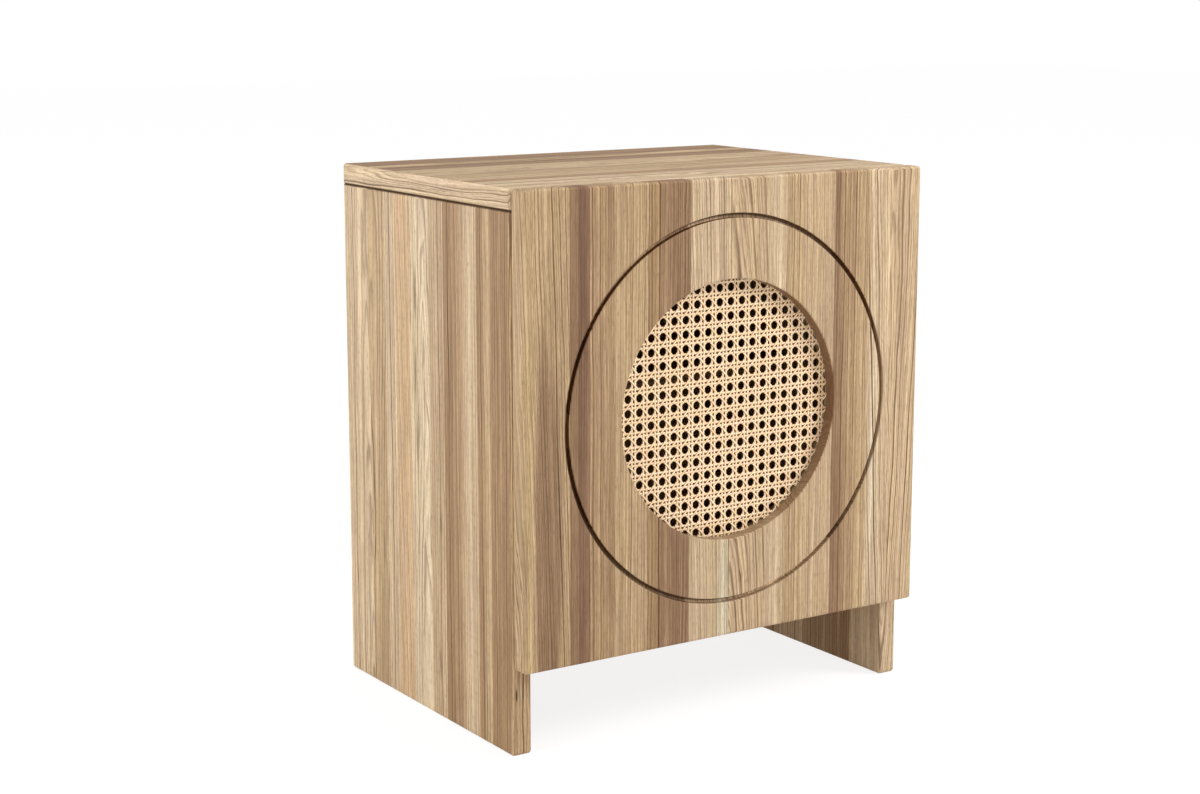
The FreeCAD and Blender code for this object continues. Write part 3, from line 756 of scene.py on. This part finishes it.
def addStrand(bm, uvLayer, toneLayer, start, end, width, steps, lift, tone):
    # a strip of three lines of vertices from start to end, lifted along the way by lift(distance)
    direction = Vector(end) - Vector(start)
    length = direction.length
    direction.normalize()
    sideways = Vector((direction.y, -direction.x))
    made = bmesh.ops.create_grid(bm, x_segments=2, y_segments=steps, size=0.5, calc_uvs=True)
    for vert in made["verts"]:
        share = vert.co.y + 0.5
        offset = vert.co.x * width
        crown = cane["crown"] if abs(vert.co.x) < 0.25 else 0.0  # only the middle line stands proud
        x = start[0] + direction.x * share * length + sideways.x * offset
        z = start[1] + direction.y * share * length + sideways.y * offset
        vert.co = Vector((x, cane["middle"] - lift(share * length) - crown, z)) / 1000
        for loop in vert.link_loops:
            loop[uvLayer].uv = (offset / width + 0.5, share * length / 100)  # the second one in decimetres
        vert[toneLayer] = tone


def caneSheet(name, strands):
    bm = bmesh.new()
    uvLayer = bm.loops.layers.uv.new("strand")
    toneLayer = bm.verts.layers.float.new("strandTone")
    for strand in strands:
        addStrand(bm, uvLayer, toneLayer, *strand)
    for face in bm.faces:
        face.smooth = True
    bmesh.ops.recalc_face_normals(bm, faces=bm.faces)
    bm.normal_update()
    if sum(face.normal.y for face in bm.faces) > 0:  # the peel looks to the front
        bmesh.ops.reverse_faces(bm, faces=bm.faces)
    sheet = newObject(name, meshFrom(bm, name))
    solid = sheet.modifiers.new("thickness", "SOLIDIFY")
    solid.thickness = cane["thickness"] / 1000
    solid.offset = -1.0
    return sheet


def halfChord(offset):
    return math.sqrt(max(cane["radius"] ** 2 - offset ** 2, 0.0))


def pairLift(first, axis, parity):
    # plain weave inside a pair: over at one neighbour, under at the other
    pitch, origin = cane["pitch"][1 - axis], cane["hole"][1 - axis]
    half = cane["pairHalf"] / pitch

    def lift(distance):
        cell = ((first + distance - origin) / pitch) % 1.0
        over = max(0.0, 1 - abs(cell - (0.5 - half)) / cane["liftReach"])
        under = max(0.0, 1 - abs(cell - (0.5 + half)) / cane["liftReach"])
        return cane["lift"] * (over - under) * parity
    return lift


def pairStrands(dice):
    strands = []
    for axis in (0, 1):  # 0: uprights, 1: rows
        crossPitch, crossCentre = cane["pitch"][1 - axis], cane["centre"][1 - axis]
        for number in range(-cane["pairs"], cane["pairs"] + 1):
            for side in (-1, 1):
                place = cane["hole"][axis] + (number + 0.5) * cane["pitch"][axis] + side * cane["pairHalf"]
                half = halfChord(place - cane["centre"][axis])
                if half < cane["shortestPair"]:
                    continue
                first, last = crossCentre - half, crossCentre + half
                steps = max(cane["pairSteps"], round((last - first) / (crossPitch / cane["pairSteps"])))
                lift = pairLift(first, axis, side if axis else -side)
                ends = ((first, place), (last, place)) if axis else ((place, first), (place, last))
                strands.append((*ends, cane["strandWidth"], steps, lift, dice.random()))
    return strands


def diagonalLift(start, direction, slope):
    # u counts cells from the hole: the strand crosses the uprights at a half and the rows at a whole one
    def lift(distance):
        u = (start.x + direction.x * distance - cane["hole"][0]) / cane["pitch"][0]
        return slope * cane["diagonalLift"] * -math.cos(2 * math.pi * u)
    return lift


def diagonalStrands(dice):
    strands = []
    (pitchAcross, pitchUp), (holeAcross, holeUp) = cane["pitch"], cane["hole"]
    centre = Vector(cane["centre"])
    stepLength = 0.5 * math.hypot(pitchAcross, pitchUp) / cane["diagonalSteps"]
    for slope in (-1, 1):
        normal = Vector((1 / pitchAcross, slope / pitchUp))
        scale = normal.length
        direction = Vector((-normal.y, normal.x)) / scale
        for number in range(-cane["diagonals"], cane["diagonals"] + 1):
            # the line where u + slope * v = number + 0.5, with u and v counted in cells from the hole
            offset = number + 0.5 + holeAcross / pitchAcross + slope * holeUp / pitchUp
            toCentre = (normal.dot(centre) - offset) / scale
            if abs(toCentre) > cane["radius"] - cane["rimClearance"]:
                continue
            foot = centre - normal / scale * toCentre
            reach = halfChord(toCentre)
            start, end = foot - direction * reach, foot + direction * reach
            steps = max(cane["fewestDiagonal"], round(2 * reach / stepLength))
            lift = diagonalLift(start, direction, slope)
            strands.append((tuple(start), tuple(end), cane["diagonalWidth"], steps, lift, dice.random()))
    return strands


caneFinish = {
    "tones": ((0.0, "#fcdfaf"), (0.35, "#ffeac2"), (0.7, "#fee4c0"), (1.0, "#fad9ab")),
    # the strands' edges are painted reddish brown as painted shade between the strands
    "edgeShadeTone": "#b87334",
    "edgeShade": (0.25, 0.5, 0.0, 0.95),    # from a strand's middle line to its edge
    "fibreScale": (5.0, 6.0, 1.0),     # fibres about 0.5 mm wide and 17 mm long
    "fibreNoise": (1.0, 2.0),          # scale and detail
    "fibre": (0.3, 0.7, 0.90, 1.06),
    "seedSpan": 37.0,
    "roughness": 0.42,
    "ior": 1.5,
    "bump": 0.1,
    "bumpStrength": 0.5,
}

# rattan cane: a pale skin with a soft gloss and long fibres, split into strands whose edges carry a reddish
# painted shade
caneMaterial, add = newMaterial("woven rattan cane peel")
strandMap = add("UVMap", uv_map="strand")
tone = add("Attribute", attribute_name="strandTone").outputs["Fac"]
shift = add("Math", [tone, caneFinish["seedSpan"]], "MULTIPLY")
strandPlace = add("VectorMath", [strandMap, caneFinish["fibreScale"]], "MULTIPLY")
strandPlace = add("VectorMath", [strandPlace, add("CombineXYZ", [0.0, 0.0, shift])], "ADD")
fibre = add("TexNoise", [strandPlace, *caneFinish["fibreNoise"]])
strandTones = add("ValToRGB", [tone])
stops = [(place, toLinear(shade)) for place, shade in caneFinish["tones"]]
fillRamp(strandTones.color_ramp, stops, "LINEAR")
level = add("MapRange", [fibre, *caneFinish["fibre"]])
colour = add("VectorMath", [strandTones, level], "SCALE")
acrossStrand = add("SeparateXYZ", [strandMap])
fromMiddle = add("Math", [acrossStrand, 0.5], "SUBTRACT")
fromMiddle = add("Math", [fromMiddle], "ABSOLUTE")
# painted shade towards each strand's edge
atEdge = add("MapRange", [fromMiddle, *caneFinish["edgeShade"]], **smooth)
surface = add("BsdfPrincipled", {
    "Base Color": add("Mix", [atEdge, colour, toLinear(caneFinish["edgeShadeTone"])], **inColour),
    "Roughness": caneFinish["roughness"],
    "IOR": caneFinish["ior"],
    "Normal": add("Bump", {
        "Height": fibre,
        "Strength": caneFinish["bumpStrength"],
        "Distance": caneFinish["bump"] / 1000,
    }),
})
add("OutputMaterial", {"Surface": surface})

caneDice = random.Random(29)
sheets = {
    "cane_uprights_and_rows": pairStrands(caneDice),
    "cane_diagonals": diagonalStrands(caneDice),
}
for name, strands in sheets.items():
    piece = caneSheet(name, strands)
    piece.data.materials.append(caneMaterial)
    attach(piece, "door")
    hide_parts("cane_webbing")
print("stage: woven cane")


# rotary cut plywood: the knife follows the rings, so the face shows wide flowing contour lines

plywoodFinish = {
    "tone": "#d3b48a",
    "line": "#b08c62",
    "lineAmount": 0.62,
    "crossPly": "#a07a52",
    "contour": ((48, 48, 300), 1.5, 0.45),   # noise as for the staves: sizes in mm, detail, roughness
    "fibre": ((1.3, 1.3, 26), 2.0, 0.7),
    "rings": 22.0,
    "rise": (0.25, 0.88),
    "fall": (0.89, 0.99),
    "level": (0.3, 0.7, 0.86, 1.12),
    "ply": 1.2,                              # mm, thickness of one layer
    "roughness": 0.66,
    "ior": 1.5,
    "specular": 0.25,
    "lineDepth": -0.3,
    "bump": 0.08,
}


def rotaryPlywood(name, nearFace):
    finish = plywoodFinish
    material, add = newMaterial(name)
    coords = add("TexCoord").outputs
    place = add("Mapping", {"Vector": coords["Object"], "Scale": (1000, 1000, 1000)})
    rings = stretchedNoise(add, place, *finish["contour"])
    rings = add("Math", [rings, finish["rings"]], "MULTIPLY")
    late = pulse(add, add("Math", [rings], "FRACT"), finish["rise"], finish["fall"])
    amount = add("Math", [late, finish["lineAmount"]], "MULTIPLY")
    colour = add("Mix", [amount, toLinear(finish["tone"]), toLinear(finish["line"])], **inColour)

    # on the cut edges every second layer shows its end grain, which is darker
    depth = add("SeparateXYZ", [place]).outputs[1]
    layers = add("Math", [depth, nearFace], "SUBTRACT")
    layers = add("Math", [layers, 2 * finish["ply"]], "DIVIDE")
    layers = add("Math", [layers], "FRACT")
    second = add("Math", [layers, 0.5], "GREATER_THAN")
    facing = add("SeparateXYZ", [coords["Normal"]]).outputs[1]
    facing = add("Math", [facing], "ABSOLUTE")
    onEdge = add("Math", [facing, 0.5], "LESS_THAN")
    endGrain = add("Math", [second, onEdge], "MULTIPLY")
    colour = add("Mix", [endGrain, colour, toLinear(finish["crossPly"])], **inColour)

    fibre = stretchedNoise(add, place, *finish["fibre"])
    level = add("MapRange", [fibre, *finish["level"]])
    height = add("Math", [late, finish["lineDepth"], fibre], "MULTIPLY_ADD")
    surface = add("BsdfPrincipled", {
        "Base Color": add("VectorMath", [colour, level], "SCALE"),
        "Roughness": finish["roughness"],
        "Normal": add("Bump", {"Height": height, "Strength": 1.0, "Distance": finish["bump"] / 1000}),
        "IOR": finish["ior"],
        "Specular IOR Level": finish["specular"],
    })
    add("OutputMaterial", {"Surface": surface})
    return material


for node, name in (
    ("back_panel", "rotary cut birch plywood back"),
    ("cane_retaining_ring", "rotary cut birch plywood ring"),
):
    dress(node, rotaryPlywood(name, boxInMillimetres(node)[0][1]))
print("stage: plywood")


# plated steel, moulded plastic and turned beech; the grain's sizes and the bump are in mm

fittingFinishes = {
    # a warm grey plating drawn along the leaf, so highlights break into soft vertical streaks
    "brushed nickel plated steel": {
        "tone": "#c9c6c0", "shade": "#b3afa7", "grain": (0.35, 0.35, 14),
        "roughness": 0.30, "metallic": 1.0, "bump": 0.012,
    },
    # bluish zinc over cold-formed steel, mottled where the passivation pooled
    "zinc plated screw steel": {
        "tone": "#c3c6c8", "shade": "#9fa3a8", "grain": (1.1, 1.1, 1.1),
        "roughness": 0.36, "metallic": 1.0, "bump": 0.010,
    },
    # spark-eroded mould grain takes the shine off the light grey plastic
    "moulded ABS in light grey": {
        "tone": "#d4d3ce", "shade": "#cac9c3", "grain": (0.5, 0.5, 0.5),
        "roughness": 0.50, "metallic": 0.0, "bump": 0.020,
    },
    # small brown ray flecks lie along the dowels
    "turned beech": {
        "tone": "#d8b58a", "shade": "#b88c60", "grain": (3.2, 0.8, 0.8),
        "roughness": 0.60, "metallic": 0.0, "bump": 0.030,
    },
}

fittingPattern = {
    "grain": (1.0, 2.0, 0.6),    # scale, detail and roughness
    "clouds": (90.0, 1.0),       # scale and detail: blotches of about 11 mm over the fine grain
    "shades": (0.75, 1.25),
    "gloss": (0.7, 1.3),
    "glossSpread": (0.08, -0.06),
}


def fittingMaterial(name):
    finish = fittingFinishes[name]
    material, add = newMaterial(name)
    place = add("TexCoord").outputs["Object"]
    scaled = add("Mapping", {"Vector": place, "Scale": [1000 / size for size in finish["grain"]]})
    grain = add("TexNoise", [scaled, *fittingPattern["grain"]])
    clouds = add("TexNoise", [place, *fittingPattern["clouds"]])
    mixed = add("Math", [grain, clouds], "ADD")
    amount = add("MapRange", [mixed, *fittingPattern["shades"]])
    gloss = [finish["roughness"] + more for more in fittingPattern["glossSpread"]]
    surface = add("BsdfPrincipled", {
        "Base Color": add("Mix", [amount, toLinear(finish["shade"]), toLinear(finish["tone"])], **inColour),
        "Roughness": add("MapRange", [mixed, *fittingPattern["gloss"], *gloss]),
        "Metallic": finish["metallic"],
        "Normal": add("Bump", {"Height": grain, "Strength": 1.0, "Distance": finish["bump"] / 1000}),
    })
    add("OutputMaterial", {"Surface": surface})
    return material


nickel, zinc, plastic, beech = (fittingMaterial(name) for name in fittingFinishes)
fittings = {
    nickel: ["shelf_pins", "strike_plate", "push_latch_magnet"],
    plastic: ["push_latch_body", "push_latch_plunger"],
    beech: ["top_dowels", "bottom_dowels"],
}
for height in ("lower", "upper"):
    fittings[nickel] += [f"{height}_hinge_{part}" for part in ("side_leaf", "door_leaf", "pin")]
for material, nodes in fittings.items():
    for node in nodes:
        dress(node, material)


# countersunk cross-head screws, in mm

screwSizes = {
    # head radius, head height, shank radius, length
    "hinge": (2.5, 1.5, 1.25, 14),
    "small": (2.6, 1.6, 1.25, 12),
    "back": (3.0, 1.8, 1.5, 18),
}

screwShape = {
    # shares of the head's radius, the head's height and the length
    "slot": 0.11,
    "arm": 0.52,
    "corner": 0.78,
    "recessTaper": 0.6,
    "recessDepth": 0.55,
    "pointStart": 0.82,
    "tip": 0.12,
}


def crossRecess(bm, headRadius, headHeight):
    # the head's face with its cross sunk in; gives the edges of its rim
    slot, arm = headRadius * screwShape["slot"], headRadius * screwShape["arm"]
    bmesh.ops.create_grid(bm, x_segments=3, y_segments=3, size=1.0)
    for vert in bm.verts:
        for axis in (0, 1):
            vert.co[axis] = math.copysign(arm if abs(vert.co[axis]) > 0.5 else slot, vert.co[axis])
    for vert in bm.verts:
        if min(abs(vert.co.x), abs(vert.co.y)) > slot * 1.01:
            vert.co *= screwShape["corner"]  # the square's corners draw in towards a circle
    bmesh.ops.subdivide_edges(bm, edges=[edge for edge in bm.edges if edge.is_boundary], cuts=1)
    rim = [edge for edge in bm.edges if edge.is_boundary]
    cross = [face for face in bm.faces if min(abs(v) for v in face.calc_center_median()[:2]) < slot * 0.99]
    made = bmesh.ops.extrude_edge_only(bm, edges=rim)["geom"]
    rim = [edge for edge in made if isinstance(edge, bmesh.types.BMEdge)]
    for vert in {vert for edge in rim for vert in edge.verts}:
        vert.co = vert.co.normalized() * headRadius
    sunk = bmesh.ops.extrude_face_region(bm, geom=cross)["geom"]
    bmesh.ops.delete(bm, geom=[face for face in cross if face.is_valid], context="FACES")
    sunk = [vert for vert in sunk if isinstance(vert, bmesh.types.BMVert)]
    bmesh.ops.scale(bm, vec=(screwShape["recessTaper"], screwShape["recessTaper"], 1), verts=sunk)
    bmesh.ops.translate(bm, vec=(0, 0, -headHeight * screwShape["recessDepth"]), verts=sunk)
    return rim


def screwMesh(headRadius, headHeight, shankRadius, length):
    # the head's face is at z = 0 and the point is at z = -length
    bm = bmesh.new()
    rim = crossRecess(bm, headRadius, headHeight)
    for radius, z in (
        (shankRadius, -headHeight),
        (shankRadius, -length * screwShape["pointStart"]),
        (shankRadius * screwShape["tip"], -length),
    ):
        made = bmesh.ops.extrude_edge_only(bm, edges=rim)["geom"]
        ring = [vert for vert in made if isinstance(vert, bmesh.types.BMVert)]
        rim = [edge for edge in made if isinstance(edge, bmesh.types.BMEdge)]
        now = ring[0].co.xy.length
        bmesh.ops.scale(bm, vec=(radius / now, radius / now, 1), verts=ring)
        bmesh.ops.translate(bm, vec=(0, 0, z - ring[0].co.z), verts=ring)
    bmesh.ops.holes_fill(bm, edges=rim)
    bmesh.ops.recalc_face_normals(bm, faces=bm.faces)
    return meshFrom(bm, "screwPattern")


def setScrews(node, body, kind, outward, heads, dice):
    # heads: where the middles of the head faces are; each screw stops at its own angle
    pattern = screwMesh(*screwSizes[kind])
    facing = Vector((0, 0, 1)).rotation_difference(Vector(outward)).to_matrix().to_4x4()
    bm = bmesh.new()
    for head in heads:
        known = set(bm.verts)
        bm.from_mesh(pattern)
        added = [vert for vert in bm.verts if vert not in known]
        turn = Matrix.Rotation(dice.uniform(0, math.pi / 2), 4, "Z")
        place = Matrix.Scale(0.001, 4) @ Matrix.Translation(head) @ facing @ turn
        bmesh.ops.transform(bm, matrix=place, verts=added)
    bpy.data.meshes.remove(pattern)
    piece = newObject(f"cross_head_{node}", meshFrom(bm, f"cross_head_{node}"))
    piece.data.materials.append(zinc)
    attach(piece, body)
    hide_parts(node)


screwPlaces = {
    # faces are depths, columns are x and levels are heights
    "backFace": 168.5,
    "backColumns": (-211.25, 208.75),
    "backLevels": (112, 228.67, 345.33, 462),
    "backRow": (-103.75, -1.25, 101.25),
    "backRowLevel": 92,
    "ringFace": -149.0,
    "ringRadius": 127,
    "ringCount": 8,
    "hingeX": 213.75,
    "hingeFaces": (-147.4, -147.6),          # the leaf on the side, the leaf on the door
    "hingeMiddles": {"lower": 162, "upper": 432},
    "hingePitch": 17,
    "latch": [(-183.25, -104.5, 489), (-157.25, -104.5, 489)],
    "strikePlate": [(-185.25, -147.3, 485), (-155.25, -147.3, 485)],
}

places = screwPlaces
backHeads = [(x, places["backFace"], z) for x in places["backColumns"] for z in places["backLevels"]]
backHeads += [(x, places["backFace"], places["backRowLevel"]) for x in places["backRow"]]
ringHeads = []
for number in range(places["ringCount"]):
    angle = math.radians((number + 0.5) * 360 / places["ringCount"])
    x = cane["centre"][0] + places["ringRadius"] * math.cos(angle)
    z = cane["centre"][1] + places["ringRadius"] * math.sin(angle)
    ringHeads.append((x, places["ringFace"], z))

toBack, toFront, down = (0, 1, 0), (0, -1, 0), (0, 0, -1)
screwDice = random.Random(41)
setScrews("back_panel_screws", "carcass", "back", toBack, backHeads, screwDice)
setScrews("retaining_ring_screws", "door", "small", toBack, ringHeads, screwDice)
for height, middle in places["hingeMiddles"].items():
    levels = [middle + step * places["hingePitch"] for step in (-1, 0, 1)]
    sideHeads, doorHeads = ([(places["hingeX"], y, z) for z in levels] for y in places["hingeFaces"])
    setScrews(f"{height}_hinge_side_screws", "carcass", "hinge", toFront, sideHeads, screwDice)
    setScrews(f"{height}_hinge_door_screws", "door", "hinge", toBack, doorHeads, screwDice)
setScrews("push_latch_screws", "carcass", "small", down, places["latch"], screwDice)
setScrews("strike_plate_screws", "door", "small", toBack, places["strikePlate"], screwDice)
print("stage: fittings")

bpy.context.scene.view_settings.view_transform = "Standard"
